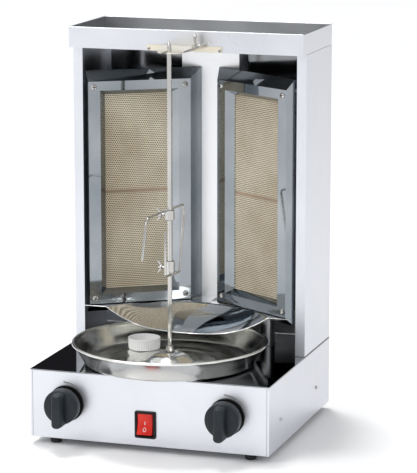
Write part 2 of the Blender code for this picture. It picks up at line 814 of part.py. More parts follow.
def make_gas_train():
    """Inlet, supply pipe, manifold, and the pipe and jet for each burner."""
    inlet = turned(
        "gas_inlet",
        [(0, INLET_LENGTH), (0.0038, INLET_LENGTH), (0.0046, INLET_LENGTH - 0.0030)]
        + [(0.0038, INLET_LENGTH - 0.0032), (0.0046, INLET_LENGTH - 0.0070)]
        + [(0.0038, INLET_LENGTH - 0.0072), (0.0038, 0.0060), (0.0085, 0.0060), (0.0085, 0.0004)]
        + [(0.0060, 0.0004), (0.0060, -0.0060), (0, -0.0060)],
        BRASS,
        (SUPPLY_X, BACK, MANIFOLD_Z),
        (math.radians(-90), 0, 0),
        24,
    )
    hole(inlet, 0.0028, (SUPPLY_X, BACK + INLET_LENGTH - 0.0060, MANIFOLD_Z), ALONG_Y, 0.02)
    wire(
        "supply_pipe",
        rounded_path(
            [
                (SUPPLY_X, BACK - 0.0064, MANIFOLD_Z),
                (SUPPLY_X, MANIFOLD_Y, MANIFOLD_Z),
                (KNOB_MID + KNOB_X + 0.0074, MANIFOLD_Y, MANIFOLD_Z),
            ],
            [0.0100],
        ),
        0.0045,
        BRASS,
    )
    cylinder(
        "gas_manifold",
        0.0052,
        2 * KNOB_X + 0.0140,
        (KNOB_MID, MANIFOLD_Y, MANIFOLD_Z),
        BRASS,
        ALONG_X,
        24,
    )
    for side, name in ((-1, "left"), (1, "right")):
        x, y = venturi_xy(side)
        wire(
            f"{name}_gas_pipe",
            rounded_path(
                [
                    (KNOB_MID + side * KNOB_X, FRONT + 0.0320, KNOB_Z),
                    (KNOB_MID + side * KNOB_X, -0.0200, KNOB_Z),
                    (x, y, KNOB_Z),
                    (x, y, 0.0760),
                ],
                [0.0300, 0.0090],
            ),
            0.0030,
            BRASS,
        )
        turned(
            f"{name}_gas_jet",
            [(0, 0.0880), (0.0020, 0.0880), (0.0050, 0.0850), (0.0050, 0.0764), (0, 0.0764)],
            BRASS,
            (x, y, 0),
            steps=6,
        )


def make_gland():
    """The gland where the mains lead would enter."""
    gland = turned(
        "cord_gland",
        [(0.0085, 0.0060), (0.0100, 0.0040), (0.0100, 0.0004), (0.0066, 0.0004), (0.0066, -0.0060)]
        + [(0.0035, -0.0060), (0.0035, 0.0060)],
        BLACK_PLASTIC,
        (-SUPPLY_X, BACK, MANIFOLD_Z),
        (math.radians(-90), 0, 0),
        24,
        loop=True,
    )
    return gland


make_base()
make_housing()
make_chute()
make_burner("left", -1)
make_burner("right", 1)
make_pan()
make_drive()
make_skewer()
make_top_holder()
make_cap()
make_knob("left", KNOB_MID - KNOB_X)
make_knob("right", KNOB_MID + KNOB_X)
make_switch()
make_gas_train()
make_gland()
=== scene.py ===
"""Vertical gas rotisserie: the visual model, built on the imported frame. Metres, +Z up, front is -Y."""

import math

import bmesh
import bpy
import numpy as np
from mathutils import Matrix, Vector
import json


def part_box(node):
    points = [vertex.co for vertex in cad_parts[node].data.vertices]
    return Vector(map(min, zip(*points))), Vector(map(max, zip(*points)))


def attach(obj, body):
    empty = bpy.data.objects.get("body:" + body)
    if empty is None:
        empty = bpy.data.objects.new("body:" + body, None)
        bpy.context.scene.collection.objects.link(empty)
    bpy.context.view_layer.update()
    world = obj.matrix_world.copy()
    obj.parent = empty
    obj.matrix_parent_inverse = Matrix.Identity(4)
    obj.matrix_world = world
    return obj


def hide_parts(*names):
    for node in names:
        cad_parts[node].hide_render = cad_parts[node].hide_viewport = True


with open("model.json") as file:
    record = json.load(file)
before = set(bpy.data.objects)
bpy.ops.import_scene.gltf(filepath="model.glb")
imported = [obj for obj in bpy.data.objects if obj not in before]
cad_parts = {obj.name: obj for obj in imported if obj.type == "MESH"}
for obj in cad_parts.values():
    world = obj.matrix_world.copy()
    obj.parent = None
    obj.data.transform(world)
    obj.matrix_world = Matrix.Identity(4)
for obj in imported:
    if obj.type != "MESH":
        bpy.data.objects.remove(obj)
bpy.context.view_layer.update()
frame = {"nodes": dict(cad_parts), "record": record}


def middle(node):
    """The middle of a CAD node's box."""
    low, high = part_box(node)
    return (Vector(low) + Vector(high)) / 2


BURNER_TURN = math.radians(32.9)  # each burner's turn towards the skewer
FRAME_FACE = 0.0177  # from the middle of the plates to the frame's front
STRIP_HALF = 0.0425  # half the width of the reflector's bright strip
OUT_FRONT = Matrix.Rotation(math.radians(90), 4, "X")
OUT_BACK = Matrix.Rotation(math.radians(-90), 4, "X")
spit = middle("skewer_rod")
ON_SPIT = Matrix.Translation((spit.x, spit.y, 0))


# ---------------------------------------------------------------- materials
def nodes_of(name):
    """A new material, its node tree and its shader."""
    made = bpy.data.materials.new(name)
    made.use_nodes = True
    tree = made.node_tree
    return made, tree, tree.nodes["Principled BSDF"]


def noise(tree, scale, stretch=(1, 1, 1), detail=4.0):
    """Procedural noise in object space."""
    coords = tree.nodes.new("ShaderNodeTexCoord")
    mapping = tree.nodes.new("ShaderNodeMapping")
    mapping.inputs["Scale"].default_value = stretch
    tree.links.new(coords.outputs["Object"], mapping.inputs["Vector"])
    cloud = tree.nodes.new("ShaderNodeTexNoise")
    cloud.inputs["Scale"].default_value = scale
    cloud.inputs["Detail"].default_value = detail
    tree.links.new(mapping.outputs["Vector"], cloud.inputs["Vector"])
    return cloud.outputs["Fac"]


def combine(tree, operation, *values):
    """A math node's result. Each value is a socket or a number."""
    node = tree.nodes.new("ShaderNodeMath")
    node.operation = operation
    for socket, value in zip(node.inputs, values):
        if isinstance(value, bpy.types.NodeSocket):
            tree.links.new(value, socket)
        else:
            socket.default_value = value
    return node.outputs["Value"]


def axes_of(tree, space="Object"):
    """The shaded point's three coordinates, as sockets."""
    coords = tree.nodes.new("ShaderNodeTexCoord")
    split = tree.nodes.new("ShaderNodeSeparateXYZ")
    tree.links.new(coords.outputs[space], split.inputs["Vector"])
    return split.outputs


def blend(tree, factor, first, second):
    """The first colour where the factor is 0, and the second where it is 1."""
    mix = tree.nodes.new("ShaderNodeMix")
    mix.data_type = "RGBA"
    tree.links.new(factor, mix.inputs["Factor"])
    tree.links.new(first, mix.inputs["A"])
    tree.links.new(second, mix.inputs["B"])
    return mix.outputs["Result"]


def spread(tree, source, low, high, start=0.3, end=0.7):
    """The source's value, moved to a range."""
    step = tree.nodes.new("ShaderNodeMapRange")
    step.inputs["From Min"].default_value = start
    step.inputs["From Max"].default_value = end
    step.inputs["To Min"].default_value = low
    step.inputs["To Max"].default_value = high
    tree.links.new(source, step.inputs["Value"])
    return step.outputs["Result"]


def tint(tree, source, dark, light, start=0.3, end=0.7):
    """A colour that runs from dark to light with the source."""
    ramp = tree.nodes.new("ShaderNodeValToRGB")
    ramp.color_ramp.elements[0].position = start
    ramp.color_ramp.elements[0].color = (*dark, 1)
    ramp.color_ramp.elements[1].position = end
    ramp.color_ramp.elements[1].color = (*light, 1)
    tree.links.new(source, ramp.inputs["Fac"])
    return ramp.outputs["Color"]


def bump(tree, shader, source, distance, strength):
    """Fine relief."""
    step = tree.nodes.new("ShaderNodeBump")
    step.inputs["Strength"].default_value = strength
    step.inputs["Distance"].default_value = distance
    tree.links.new(source, step.inputs["Height"])
    tree.links.new(step.outputs["Normal"], shader.inputs["Normal"])


def metal(name, dark, light, rough, grain=(1, 1, 1), relief=0.00002):
    """Sheet or bar metal: smudges in its roughness, a fine directional grain and a slight tint."""
    made, tree, shader = nodes_of(name)
    shader.inputs["Metallic"].default_value = 1.0
    smudge = noise(tree, 9.0, detail=5.0)
    lines = noise(tree, 260.0, grain, 3.0)
    tree.links.new(tint(tree, smudge, dark, light), shader.inputs["Base Color"])
    wear = combine(tree, "MULTIPLY_ADD", lines, 0.35, smudge)
    tree.links.new(spread(tree, wear, *rough, 0.45, 0.95), shader.inputs["Roughness"])
    bump(tree, shader, lines, relief, 0.35)
    return made


def spun(name, dark, light, rough, centre):
    """Turned sheet metal: fine rings about an upright axis, with smudges."""
    made, tree, shader = nodes_of(name)
    shader.inputs["Metallic"].default_value = 1.0
    smudge = noise(tree, 11.0, detail=5.0)
    coords = tree.nodes.new("ShaderNodeTexCoord")
    mapping = tree.nodes.new("ShaderNodeMapping")
    mapping.inputs["Location"].default_value = (-centre.x, -centre.y, 0)
    tree.links.new(coords.outputs["Object"], mapping.inputs["Vector"])
    rings = tree.nodes.new("ShaderNodeTexWave")
    rings.wave_type = "RINGS"
    rings.rings_direction = "Z"
    for socket, value in (("Scale", 30.0), ("Distortion", 0.8), ("Detail", 4.0), ("Detail Scale", 3.0)):
        rings.inputs[socket].default_value = value
    tree.links.new(mapping.outputs["Vector"], rings.inputs["Vector"])
    tree.links.new(tint(tree, smudge, dark, light), shader.inputs["Base Color"])
    wear = combine(tree, "MULTIPLY_ADD", rings.outputs["Fac"], 0.30, smudge)
    tree.links.new(spread(tree, wear, *rough, 0.40, 0.95), shader.inputs["Roughness"])
    bump(tree, shader, rings.outputs["Fac"], 0.000012, 0.3)
    return made


def reflector_steel(name, half):
    """Sheet that is satin bright on its raised middle strip and glossy on its wings, whose dark colour is a
    painted reflection.
    """
    made, tree, shader = nodes_of(name)
    shader.inputs["Metallic"].default_value = 1.0
    smudge = noise(tree, 9.0, detail=5.0)
    aside = combine(tree, "ABSOLUTE", axes_of(tree)["X"])
    wing = spread(tree, aside, 0.0, 1.0, half - 0.0015, half + 0.0015)
    strip = tint(tree, smudge, (0.84, 0.85, 0.87), (0.94, 0.95, 0.96))
    # Painted reflection: the wings' dark colour stands in for the dark surroundings they reflect.
    dark_wing_painted_reflection = tint(tree, smudge, (0.15, 0.16, 0.17), (0.34, 0.35, 0.36))
    tree.links.new(blend(tree, wing, strip, dark_wing_painted_reflection), shader.inputs["Base Color"])
    satin = spread(tree, smudge, 0.31, 0.40)
    rough = combine(tree, "MULTIPLY_ADD", wing, -0.27, satin)
    tree.links.new(rough, shader.inputs["Roughness"])
    bump(tree, shader, smudge, 0.00002, 0.2)
    return made


def tray_steel(name, low, high):
    """Casing sheet, bright outside and darker inside the tray, where the darker colour is painted shade. low
    and high are the tray's outer corners.
    """
    made, tree, shader = nodes_of(name)
    shader.inputs["Metallic"].default_value = 1.0
    smudge = noise(tree, 9.0, detail=5.0)
    axes = axes_of(tree)
    depth = combine(tree, "MULTIPLY_ADD", axes["X"], 1, -low.x)
    for axis, edge, sign in (("X", high.x, -1), ("Y", low.y, 1), ("Y", high.y, -1)):
        reach = combine(tree, "MULTIPLY_ADD", axes[axis], sign, -sign * edge)
        depth = combine(tree, "MINIMUM", depth, reach)
    inside = spread(tree, depth, 0.0, 1.0, 0.0005, 0.0008)
    bright = tint(tree, smudge, *CASING_TONES)
    # Painted shade: the darker colour inside the tray stands in for the shade in its recess.
    painted_shade_inside = tint(tree, smudge, (0.42, 0.43, 0.44), (0.56, 0.57, 0.58))
    tree.links.new(blend(tree, inside, bright, painted_shade_inside), shader.inputs["Base Color"])
    tree.links.new(spread(tree, smudge, 0.26, 0.38), shader.inputs["Roughness"])
    bump(tree, shader, smudge, 0.00002, 0.2)
    return made


def plastic(name, dark, light, rough, scale=900.0, relief=0.00003, coat=0.0, painted_glow=0.0, shine=0.5):
    """Moulded plastic or rubber with a fine texture and uneven gloss."""
    made, tree, shader = nodes_of(name)
    cloud = noise(tree, 60.0, detail=5.0)
    grain = noise(tree, scale, detail=2.0)
    colour = tint(tree, cloud, dark, light)
    tree.links.new(colour, shader.inputs["Base Color"])
    tree.links.new(spread(tree, cloud, *rough), shader.inputs["Roughness"])
    shader.inputs["Coat Weight"].default_value = coat
    shader.inputs["Specular IOR Level"].default_value = shine
    # The glow setting gives the plastic a faint light of its own: painted light, as the part is no lamp.
    if painted_glow:
        tree.links.new(colour, shader.inputs["Emission Color"])
        shader.inputs["Emission Strength"].default_value = painted_glow
    bump(tree, shader, grain, relief, 0.4)
    return made


def ceramic(name, dark, light):
    """Porous fired ceramic, stained unevenly by heat."""
    made, tree, shader = nodes_of(name)
    stain = noise(tree, 14.0, detail=6.0)
    grit = noise(tree, 1400.0, detail=3.0)
    tree.links.new(tint(tree, stain, dark, light), shader.inputs["Base Color"])
    tree.links.new(spread(tree, grit, 0.75, 0.95), shader.inputs["Roughness"])
    bump(tree, shader, grit, 0.0001, 0.6)
    return made


CASING_TONES = ((0.66, 0.675, 0.715), (0.75, 0.765, 0.81))
MIRROR_ROUGH = (0.03, 0.08)
MIRROR_RELIEF = 0.000004
LOOKS = {
    "casing_steel": metal("casing_steel", *CASING_TONES, (0.28, 0.40), (6, 6, 0.3)),
    "bright_steel": metal("bright_steel", (0.46, 0.455, 0.44), (0.63, 0.62, 0.60), (0.12, 0.26)),
    "plain_steel": metal("plain_steel", (0.45, 0.45, 0.46), (0.58, 0.58, 0.58), (0.30, 0.45)),
    "mirror_steel": metal("mirror_steel", (0.80, 0.80, 0.80), (0.90, 0.90, 0.90), MIRROR_ROUGH,
                          relief=MIRROR_RELIEF),
    "ceramic": ceramic("ceramic", (0.68, 0.58, 0.42), (0.92, 0.84, 0.67)),
    "dark_steel": metal("dark_steel", (0.10, 0.10, 0.11), (0.20, 0.19, 0.19), (0.35, 0.55)),
    "knob_plastic": plastic("knob_plastic", (0.009, 0.013, 0.017), (0.017, 0.023, 0.028), (0.34, 0.46),
                            shine=0.28),
    "black_plastic": plastic("black_plastic", (0.004, 0.004, 0.005), (0.010, 0.010, 0.011), (0.28, 0.45),
                             shine=0.22),
    # The red rocker glows faintly: painted light.
    "red_plastic": plastic("red_plastic", (0.52, 0.008, 0.004), (0.70, 0.026, 0.010), (0.16, 0.28),
                           coat=0.15, painted_glow=0.02, shine=0.30),
    "white_plastic": plastic("white_plastic", (0.80, 0.80, 0.80), (0.90, 0.90, 0.89), (0.30, 0.45),
                             relief=0.00001),
    "foot_rubber": plastic("foot_rubber", (0.010, 0.010, 0.011), (0.022, 0.022, 0.023), (0.60, 0.85),
                           500.0, 0.0001),
    "brass": metal("brass", (0.60, 0.43, 0.18), (0.82, 0.64, 0.34), (0.22, 0.38)),
}
# Near-black colour for the pit walls and floors: painted shade in the pits.
PAINTED_PIT_SHADE = ceramic("ceramic_pit_painted_shade", (0.045, 0.034, 0.022), (0.100, 0.078, 0.052))
MARK = plastic("white_mark", (0.82, 0.82, 0.80), (0.92, 0.92, 0.90), (0.30, 0.40))
# Grey for printed marks, and also painted shade for the front seams.
INK_AND_SEAM_SHADE = plastic("grey_print_and_seam_shade", (0.16, 0.16, 0.17), (0.24, 0.24, 0.25), (0.40, 0.55))
PUTTY = ceramic("seam_putty", (0.26, 0.19, 0.13), (0.42, 0.32, 0.23))
# Polished frame steel, darkened and tinted blue: painted dark, bluish reflection.
FRAME_PAINTED_DARK_STEEL = metal("frame_mirror_painted_dark", (0.23, 0.26, 0.285), (0.37, 0.39, 0.41), MIRROR_ROUGH,
                    relief=MIRROR_RELIEF)
PAN_STEEL = spun("pan_steel", (0.74, 0.74, 0.70), (0.91, 0.91, 0.88), (0.13, 0.28), spit)
SATIN_AND_PAINTED_WING_STEEL = reflector_steel("reflector_steel", STRIP_HALF)
CREAM_STEEL = metal("heat_tinted_steel", (0.74, 0.68, 0.55), (0.86, 0.81, 0.70), (0.26, 0.40), (0.3, 6, 6))
# Polished top plate steel, darkened: painted dark reflection.
TOP_PAINTED_DARK_STEEL = metal("top_mirror_painted_dark", (0.20, 0.21, 0.22), (0.30, 0.31, 0.33), MIRROR_ROUGH,
                  relief=MIRROR_RELIEF)

for part in frame["record"]["subparts"]:
    node = frame["nodes"][part["node"]]
    if node.material_slots:
        node.material_slots[0].material = LOOKS[part["material_slot"]]
    else:
        node.data.materials.append(LOOKS[part["material_slot"]])


# ---------------------------------------------------------------- shapes
def recoat(node, look):
    """Gives a CAD node another finish."""
    frame["nodes"][node].material_slots[0].material = look


def piece(name, verts, faces, look, body, slot, stands=(), place=None, angle=35.0, second=None, which=None):
    """One visible piece, in the row frame, that rides a body and may stand for CAD nodes.

    which gives each face 0 for the look or 1 for the second look."""
    mesh = bpy.data.meshes.new(name)
    points = [Vector(v) for v in verts]
    if place is not None:
        points = [place @ p for p in points]
    mesh.from_pydata([tuple(p) for p in points], [], [tuple(f) for f in faces])
    mesh.materials.append(look)
    if second is not None:
        mesh.materials.append(second)
        mesh.polygons.foreach_set("material_index", which)
    tidy = bmesh.new()
    tidy.from_mesh(mesh)
    bmesh.ops.recalc_face_normals(tidy, faces=tidy.faces)
    tidy.to_mesh(mesh)
    tidy.free()
    mesh.shade_smooth()
    mesh.set_sharp_from_angle(angle=math.radians(angle))
    obj = bpy.data.objects.new(name, mesh)
    bpy.context.scene.collection.objects.link(obj)
    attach(obj, body)
    if stands:
        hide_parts(*stands)
    return obj


def soften(obj, width, segments=3):
    """Rounds the edges, as bent or moulded ones are."""
    step = obj.modifiers.new("rounded_edges", "BEVEL")
    step.width = width
    step.segments = segments
    step.limit_method = "ANGLE"
    step.angle_limit = math.radians(35)
    step.harden_normals = True
    return obj


def join(*shapes):
    """Several (verts, faces) as one."""
    verts, faces = [], []
    for some_verts, some_faces in shapes:
        base = len(verts)
        verts += [tuple(v) for v in some_verts]
        faces += [tuple(base + i for i in f) for f in some_faces]
    return verts, faces


def moved(shape, matrix):
    """The shape through a matrix."""
    verts, faces = shape
    return [tuple(matrix @ Vector(v)) for v in verts], faces


def lathe(profile, segments, loop=False, wave=None):
    """A profile of (radius, height) turned about Z. wave(radius, height, angle) may change the radius."""
    rows, verts, faces = [], [], []
    for r, z in profile:
        row = []
        if r <= 0:
            row = [len(verts)] * segments
            verts.append((0.0, 0.0, z))
        else:
            for k in range(segments):
                a = 2 * math.pi * k / segments
                s = wave(r, z, a) if wave else r
                row.append(len(verts))
                verts.append((s * math.cos(a), s * math.sin(a), z))
        rows.append(row)
    pairs = list(zip(rows, rows[1:]))
    if loop:
        pairs.append((rows[-1], rows[0]))
    for a, b in pairs:
        for k in range(segments):
            n = (k + 1) % segments
            face = []
            for i in (a[k], a[n], b[n], b[k]):
                if i not in face:
                    face.append(i)
            if len(face) > 2:
                faces.append(face)
    return verts, faces


def tube(path, radius, sides, point=0.0):
    """A round bar along a path, its ends flat, or both pointed over a length."""
    path = [Vector(p) for p in path]
    if point:
        for end in (0, -1):
            inner = path[1 if end == 0 else -2]
            away = (path[end] - inner).normalized()
            neck = path[end] - away * point
            path.insert(1 if end == 0 else len(path) - 1, neck)
    count = len(path)
    radii = [radius] * count
    if point:
        radii[0] = radii[-1] = radius * 0.12
    tangents = []
    for i in range(count):
        ahead = path[min(i + 1, count - 1)] - path[max(i - 1, 0)]
        tangents.append(ahead.normalized())
    side = tangents[0].orthogonal().normalized()
    verts, faces = [], []
    for i, (p, t) in enumerate(zip(path, tangents)):
        side = (side - t * side.dot(t)).normalized()
        other = t.cross(side)
        for k in range(sides):
            a = 2 * math.pi * k / sides
            verts.append(p + (side * math.cos(a) + other * math.sin(a)) * radii[i])
    for i in range(count - 1):
        for k in range(sides):
            n = (k + 1) % sides
            faces.append((i * sides + k, i * sides + n, (i + 1) * sides + n, (i + 1) * sides + k))
    faces.append(tuple(range(sides)))
    faces.append(tuple((count - 1) * sides + k for k in range(sides)))
    return verts, faces


def bent(corners, radii, steps=10):
    """A path whose corners are arcs."""
    path = [Vector(corners[0])]
    for before, corner, after, radius in zip(corners, corners[1:], corners[2:], radii):
        corner = Vector(corner)
        one = (Vector(before) - corner).normalized()
        two = (Vector(after) - corner).normalized()
        half = one.angle(two) / 2
        centre = corner + (one + two).normalized() * (radius / math.sin(half))
        start = corner + one * (radius / math.tan(half)) - centre
        end = corner + two * (radius / math.tan(half)) - centre
        for k in range(steps + 1):
            path.append(centre + start.slerp(end, k / steps).normalized() * radius)
    path.append(Vector(corners[-1]))
    return path


def block(low, high):
    """A box between two corners."""
    (x0, y0, z0), (x1, y1, z1) = low, high
    verts = [(x, y, z) for z in (z0, z1) for x, y in ((x0, y0), (x1, y0), (x1, y1), (x0, y1))]
    faces = [(3, 2, 1, 0), (4, 5, 6, 7), (0, 1, 5, 4), (1, 2, 6, 5), (2, 3, 7, 6), (3, 0, 4, 7)]
    return verts, faces


def loft(sections):
    """Closed rings of equal length joined in order, with both ends closed."""
    size = len(sections[0])
    verts = [p for ring in sections for p in ring]
    faces = [tuple(range(size))[::-1]]
    for i in range(len(sections) - 1):
        for k in range(size):
            n = (k + 1) % size
            faces.append((i * size + k, i * size + n, (i + 1) * size + n, (i + 1) * size + k))
    faces.append(tuple((len(sections) - 1) * size + k for k in range(size)))
    return verts, faces


def round_rect(half_x, half_z, radius, steps=6):
    """A rectangle with round corners, as (x, z) points."""
    points = []
    for k, (sx, sz) in enumerate(((1, 1), (-1, 1), (-1, -1), (1, -1))):
        for i in range(steps + 1):
            a = math.pi / 2 * (k + i / steps)
            x = sx * (half_x - radius) + radius * math.cos(a)
            points.append((x, sz * (half_z - radius) + radius * math.sin(a)))
    return points


def ring_loop(rings):
    """Closed rings of equal length joined in order, the last one back to the first."""
    size = len(rings[0])
    verts = [p for ring in rings for p in ring]
    faces = []
    for i in range(len(rings)):
        j = (i + 1) % len(rings)
        for k in range(size):
            n = (k + 1) % size
            faces.append((i * size + k, i * size + n, j * size + n, j * size + k))
    return verts, faces


def arc(centre_x, centre_z, radius, start, end, steps):
    """Points round an arc, its angles in degrees."""
    points = []
    for k in range(steps + 1):
        a = math.radians(start + (end - start) * k / steps)
        points.append((centre_x + radius * math.cos(a), centre_z + radius * math.sin(a)))
    return points


def screw_head(radius):
    """A pan head, its seat at z = 0."""
    profile = [(0, 0.62 * radius), (0.45 * radius, 0.58 * radius), (0.8 * radius, 0.42 * radius)]
    profile += [(radius, 0.12 * radius), (radius, -0.1 * radius), (0, -0.1 * radius)]
    return lathe(profile, 24)


def screw(name, at, out, radius, spin=0.4):
    """A screw head whose top faces out, with a thin black cross on it as painted shade for its recess."""
    turn = Vector((0, 0, 1)).rotation_difference(Vector(out)).to_matrix().to_4x4()
    place = Matrix.Translation(at) @ turn @ Matrix.Rotation(spin, 4, "Z")
    head = screw_head(radius)
    a, b, h = 0.62 * radius, 0.12 * radius, 0.60 * radius
    # The black cross is painted shade for the recess.
    cross = join(
        block((-a, -b, 0.3 * radius), (a, b, h + 0.05 * radius)),
        block((-b, -a, 0.3 * radius), (b, a, h + 0.052 * radius)),
    )
    verts, faces = join(head, cross)
    which = [0] * len(head[1]) + [1] * len(cross[1])
    piece(name, verts, faces, LOOKS["bright_steel"], "casing", "bright_steel", (), place, 30,
          LOOKS["black_plastic"], which)


# ---------------------------------------------------------------- burners
def tile(name, side):
    """One ceramic plate with its staggered rows of square pits, facing local -Y; the pits' walls and floors
    are coloured near-black as painted shade.
    """
    wide, tall, deep = 0.0920, 0.1320, 0.0130
    cols, rows, margin = 36, 51, 0.0022
    pit, pit_depth, pit_taper = 0.00084, 0.0018, 0.8
    xs = np.linspace(-wide / 2, wide / 2, 2 * cols + 1)
    zs = np.linspace(margin - tall / 2, tall / 2 - margin, rows + 1)
    width = 2 * cols + 1
    front = -deep / 2
    verts = [(x, front, z) for z in zs for x in xs]
    faces, which = [], []
    for j in range(rows):
        low, high = j * width, (j + 1) * width
        shift = j % 2
        if shift:
            for k in (0, width - 2):
                faces.append((low + k, low + k + 1, high + k + 1, high + k))
                which.append(0)
        for i in range(cols - shift):
            k = 2 * i + shift
            cx, cz = xs[k + 1], (zs[j] + zs[j + 1]) / 2
            base = len(verts)
            for y, s in ((front, pit), (front + pit_depth, pit * pit_taper)):
                verts += [(cx + sx * s, y, cz + sz * s) for sx, sz in ((-1, -1), (1, -1), (1, 1), (-1, 1))]
            faces.append((low + k, low + k + 1, low + k + 2, base + 1, base))
            faces.append((low + k + 2, high + k + 2, base + 2, base + 1))
            faces.append((high + k + 2, high + k + 1, high + k, base + 3, base + 2))
            faces.append((high + k, low + k, base, base + 3))
            which += [0] * 4
            for m in range(4):
                n = (m + 1) % 4
                faces.append((base + m, base + n, base + 4 + n, base + 4 + m))
            faces.append((base + 4, base + 5, base + 6, base + 7))
            # The pit walls and floor take the near-black pit colour: painted shade.
            which += [1] * 5
    back = len(verts)
    for y in (deep / 2, front):
        verts += [(sx * wide / 2, y, sz * tall / 2) for sx, sz in ((-1, -1), (1, -1), (1, 1), (-1, 1))]
    edge = back + 4
    low = list(range(width))
    right = [j * width + width - 1 for j in range(rows + 1)]
    high = [rows * width + i for i in range(width - 1, -1, -1)]
    left = [j * width for j in range(rows, -1, -1)]
    faces.append((*reversed(low), edge, edge + 1))
    faces.append((*reversed(high), edge + 2, edge + 3))
    faces.append((edge, edge + 1, back + 1, back))
    faces.append((edge + 2, edge + 3, back + 3, back + 2))
    faces.append((edge + 1, *right, edge + 2, back + 2, back + 1))
    faces.append((edge + 3, *left, edge, back, back + 3))
    faces.append((back, back + 3, back + 2, back + 1))
    which += [0] * 7
    place = Matrix.Translation(middle(name)) @ Matrix.Rotation(-side * BURNER_TURN, 4, "Z")
    piece(name + "_fine", verts, faces, LOOKS["ceramic"], "casing", "ceramic", (name,), place, 30, PAINTED_PIT_SHADE, which)


def burner(side, name):
    """Plates, the putty between them, the polished frame and its screws."""
    seam_face, screw_x, screw_z = 0.0066, 0.0620, 0.1418
    for level in ("upper", "lower"):
        tile(f"{name}_burner_tile_{level}", side)
    tiles = (middle(f"{name}_burner_tile_upper") + middle(f"{name}_burner_tile_lower")) / 2
    turn = Matrix.Rotation(-side * BURNER_TURN, 4, "Z")
    out = turn @ Vector((0, -1, 0))
    soften(frame["nodes"][f"{name}_burner_frame"], 0.0006)
    recoat(f"{name}_burner_frame", FRAME_PAINTED_DARK_STEEL)
    putty = block((-0.0459, -0.0001, -0.0023), (0.0459, 0.0004, 0.0023))
    piece(f"{name}_burner_seam", *putty, PUTTY, "casing", "ceramic", (),
          Matrix.Translation(tiles + out * seam_face) @ turn)
    face = tiles + out * FRAME_FACE
    for sx in (-1, 1):
        for sz in (-1, 1):
            at = face + turn @ Vector((sx * screw_x, 0, sz * screw_z)) + out * 0.0001
            screw(f"{name}_frame_screw_{sx + 1}{sz + 1}", at, out, 0.0039, spin=0.3 * sx + sz)


for side, name in ((-1, "left"), (1, "right")):
    burner(side, name)


# ---------------------------------------------------------------- pan, drip plate, cap, drive
def pan():
    """The round pan: rolled bead, flared wall, flat floor with two pressed rings, a dome over the drive."""
    low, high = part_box("drip_pan")
    rim_r, rim_z, floor_z = (high.x - low.x) / 2, high.z, low.z
    thick, bead, bend = 0.0009, 0.0019, 0.0085
    wall = rim_r - 2.2 * bead
    bend_r, bend_z = 0.1050, floor_z + bend
    dome_r, dome_h, hole = 0.0355, 0.0125, 0.0060
    dome = [(dome_r + 0.004, 0.0)]
    for k in range(1, 12):
        s = k / 11
        rise = math.sin(math.radians(90) * min(1.0, 1.15 * s)) ** 1.2
        dome.append((dome_r + (hole - dome_r) * s, dome_h * rise))
    profile = arc(rim_r - bead, rim_z - bead, bead, 200, -70, 10)
    profile.append((wall + 0.0008, rim_z - 2.3 * bead))
    profile += arc(bend_r, bend_z, bend, -28, -90, 8)
    profile += [(0.0900, floor_z), (0.0600, floor_z)]
    profile += [(r, floor_z + h) for r, h in dome]
    profile += [(r, floor_z + h + thick) for r, h in reversed(dome)]
    for ring in (0.0580, 0.0800):
        for r, rise in ((ring - 0.0020, 0.0), (ring, 0.0004), (ring + 0.0020, 0.0)):
            profile.append((r, floor_z + thick + rise))
    profile += arc(bend_r, bend_z, bend - thick, -90, -28, 8)
    profile.append((wall - 0.0003, rim_z - 2.0 * bead))
    piece("drip_pan_fine", *lathe(profile, 160, loop=True), PAN_STEEL, "drip_pan",
          "mirror_steel", ("drip_pan",), ON_SPIT, 50)


chute_low, chute_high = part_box("drip_chute")
FACE_X = middle("right_burner_tile_upper").x - FRAME_FACE * math.sin(BURNER_TURN)
CHUTE_HALF = 0.1300  # half the width of the dish, and its bowl's radius
CHUTE_TAB_END = 0.1425  # how far the side tabs reach; the CAD's go on to 0.158


def chute_height(x, y):
    """The chute's dish: a shallow bowl round the skewer's axis, flat at its edge."""
    flat_r, depth, steepness = 0.0594, 0.0281, 5.64
    rise = max(0.0, min(math.hypot(x, y - spit.y), CHUTE_HALF) - flat_r)
    return chute_high.z - depth + steepness * rise * rise


def chute_back(x):
    """The chute's back edge, along the lower edges of the burner faces."""
    inner, outer = FACE_X - 0.0582, FACE_X + 0.0583
    return chute_low.y - 0.0007 + (outer - max(abs(x), inner)) * math.tan(BURNER_TURN)


